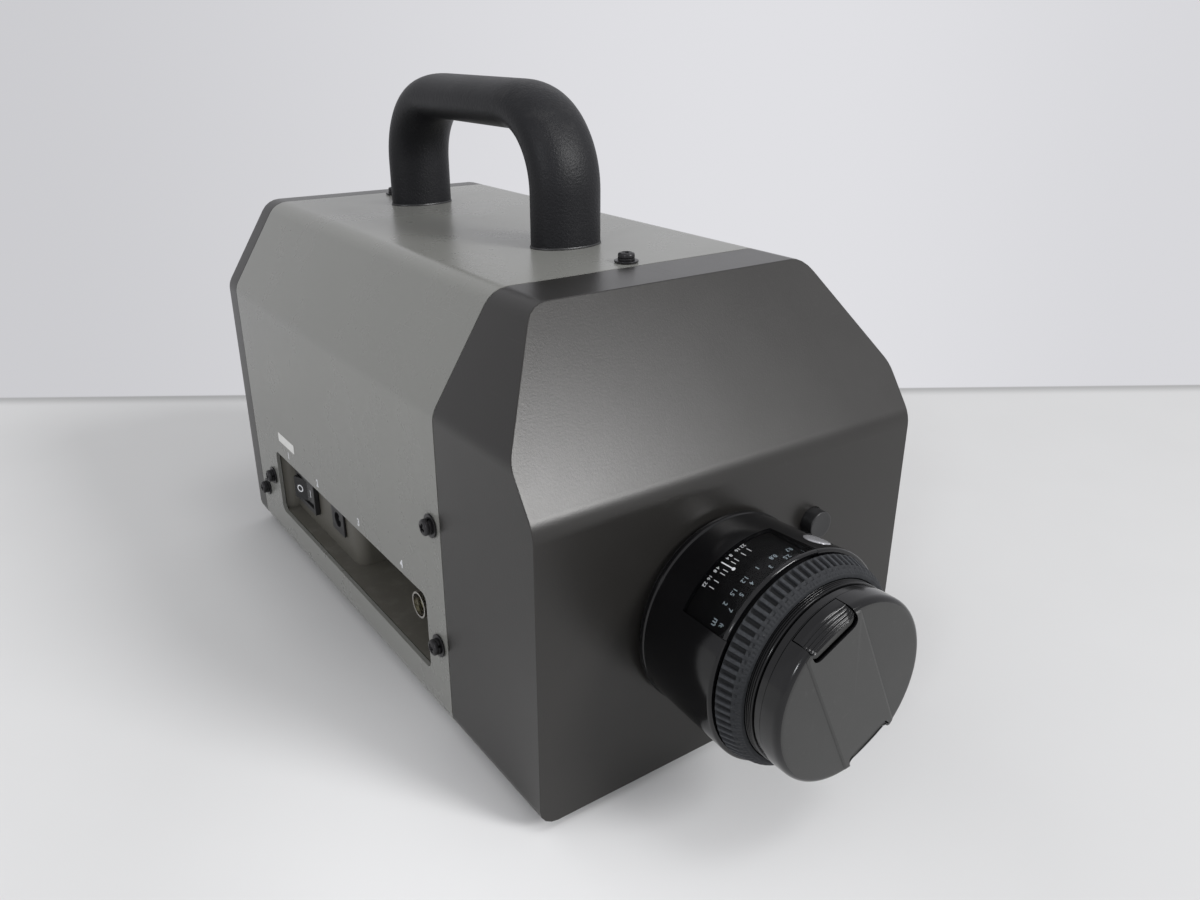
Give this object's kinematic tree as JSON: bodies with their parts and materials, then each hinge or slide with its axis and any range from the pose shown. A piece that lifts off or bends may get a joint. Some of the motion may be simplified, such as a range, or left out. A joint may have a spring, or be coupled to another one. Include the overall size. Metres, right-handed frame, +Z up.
{
  "type": "spectroradiometer",
  "caption": "Benchtop spectroradiometer in a chamfered metal case with a carry handle, capped focusing lens, side connector recess and rear eyepiece.",
  "frame": {"origin": "centre of the footprint, on the surface that the feet stand on", "axes": "+Z up, -Y along the lens axis towards the target, +Y towards the eyepiece, +X to the right for someone who faces the lens"},
  "size_m": [0.153, 0.319, 0.2004],
  "materials": {
    "cover_grey": "fine textured warm grey paint",
    "bezel_bronze": "satin dark bronze grey metallic paint",
    "cast_metal": "machined casting",
    "bright_metal": "bright plated metal",
    "rubber": "matte black rubber",
    "black_steel": "black oxide",
    "grip_black": "satin black moulded handle",
    "panel_grey": "grey painted liner",
    "black_plastic": "black moulding",
    "white_plastic": "white insulator",
    "lens_black": "gloss black anodised",
    "cap_black": "satin black moulding",
    "glass": "clear",
    "scale_black": "matte black anodised",
    "mirror": "front surface mirror",
    "board_green": "green solder mask"
  },
  "bodies": {
    "body": {"aperture_mirror": "mirror", "base_plate": "cast_metal", "body_cover": "cover_grey", "carry_handle": "grip_black", "collimating_mirror": "mirror", "connector_panel": "panel_grey", "detector_array": "black_plastic", "diffraction_grating": "mirror", "finder_prism": "glass", "finder_tube": "black_steel", "foot_front_left": "rubber", "foot_front_right": "rubber", "foot_rear_left": "rubber", "foot_rear_right": "rubber", "front_bezel": "bezel_bronze", "handle_bolt_front": "black_steel", "handle_bolt_rear": "black_steel", "lens_mount": "bright_metal", "main_board": "board_green", "optical_bench": "cast_metal", "power_inlet": "black_plastic", "rear_cap": "bezel_bronze", "relay_lens": "glass", "relay_lens_cell": "black_steel", "release_spring": "bright_metal", "screw_left_lower": "black_steel", "screw_left_panel": "black_steel", "screw_left_rear": "black_steel", "screw_left_upper": "black_steel", "screw_right_lower": "black_steel", "screw_right_rear": "black_steel", "screw_right_upper": "black_steel", "screw_top_front": "black_steel", "screw_top_rear": "black_steel", "serial_insert": "black_plastic", "serial_shell": "bright_metal", "shutter_solenoid": "black_steel", "spectrometer_housing": "black_steel", "switch_housing": "black_plastic", "sync_jack_core": "white_plastic", "sync_jack_shell": "bright_metal", "tripod_bush": "bright_metal"},
    "lens": {"lens_barrel": "lens_black", "scale_window": "glass"},
    "focus": {"focus_ring": "rubber", "scale_drum": "scale_black"},
    "front_group": {"front_barrel": "lens_black", "front_element": "glass", "rear_element": "glass"},
    "cap": {"lens_cap": "cap_black", "cap_spring_upper": "bright_metal", "cap_spring_lower": "bright_metal"},
    "tab_upper": {"cap_tab_upper": "cap_black"},
    "tab_lower": {"cap_tab_lower": "cap_black"},
    "release_button": {"release_button": "black_plastic"},
    "rocker": {"switch_rocker": "black_plastic"},
    "dioptre": {"dioptre_ring": "black_plastic", "eyecup": "rubber"},
    "eyepiece": {"eyepiece_lens": "glass"},
    "shutter_blade": {"shutter_blade": "scale_black"}
  },
  "joints": [
    {"name": "lens_release_turn", "type": "hinge", "parent": "body", "child": "lens", "pos_m": [-0.009, -0.1061, 0.056], "axis": [0, -1, 0], "range_deg": [0, 54]},
    {"name": "focus_turn", "type": "hinge", "parent": "lens", "child": "focus", "pos_m": [-0.009, -0.1061, 0.056], "axis": [0, -1, 0], "range_deg": [-40, 70]},
    {"name": "front_barrel_travel", "type": "slide", "parent": "lens", "child": "front_group", "axis": [0, -1, 0], "range_m": [-0.00255, 0.00446]},
    {"name": "lens_cap_pull", "type": "slide", "parent": "front_group", "child": "cap", "axis": [0, -1, 0], "range_m": [0, 0.015]},
    {"name": "cap_tab_upper_press", "type": "slide", "parent": "cap", "child": "tab_upper", "axis": [0.4226, 0, -0.9063], "range_m": [0, 0.002], "stiffness_N_per_m": 60, "springref_m": -0.002, "deforming": ["cap_spring_upper"]},
    {"name": "cap_tab_lower_press", "type": "slide", "parent": "cap", "child": "tab_lower", "axis": [-0.4226, 0, 0.9063], "range_m": [0, 0.002], "stiffness_N_per_m": 60, "springref_m": -0.002, "deforming": ["cap_spring_lower"]},
    {"name": "release_button_press", "type": "slide", "parent": "body", "child": "release_button", "axis": [0, 1, 0], "range_m": [0, 0.0025], "stiffness_N_per_m": 100, "springref_m": -0.002, "deforming": ["release_spring"]},
    {"name": "power_rocker", "type": "hinge", "parent": "body", "child": "rocker", "pos_m": [-0.0658, 0.09034, 0.0332], "axis": [0, 0, -1], "range_deg": [0, 20]},
    {"name": "dioptre_turn", "type": "hinge", "parent": "body", "child": "dioptre", "pos_m": [-0.009, 0.1442, 0.098], "axis": [0, 1, 0], "range_deg": [-60, 60]},
    {"name": "eyepiece_travel", "type": "slide", "parent": "body", "child": "eyepiece", "axis": [0, 1, 0], "range_m": [-0.00121, 0.00121]},
    {"name": "dark_shutter", "type": "hinge", "parent": "body", "child": "shutter_blade", "pos_m": [0.016, -0.0185, 0.056], "axis": [0, 1, 0], "range_deg": [0, 40], "stiffness_Nm_per_rad": 0.001}
  ],
  "couplings": [
    {"joint": "front_barrel_travel", "follows": "focus_turn", "m_per_rad": 0.00365},
    {"joint": "eyepiece_travel", "follows": "dioptre_turn", "m_per_rad": 0.001146}
  ]
}
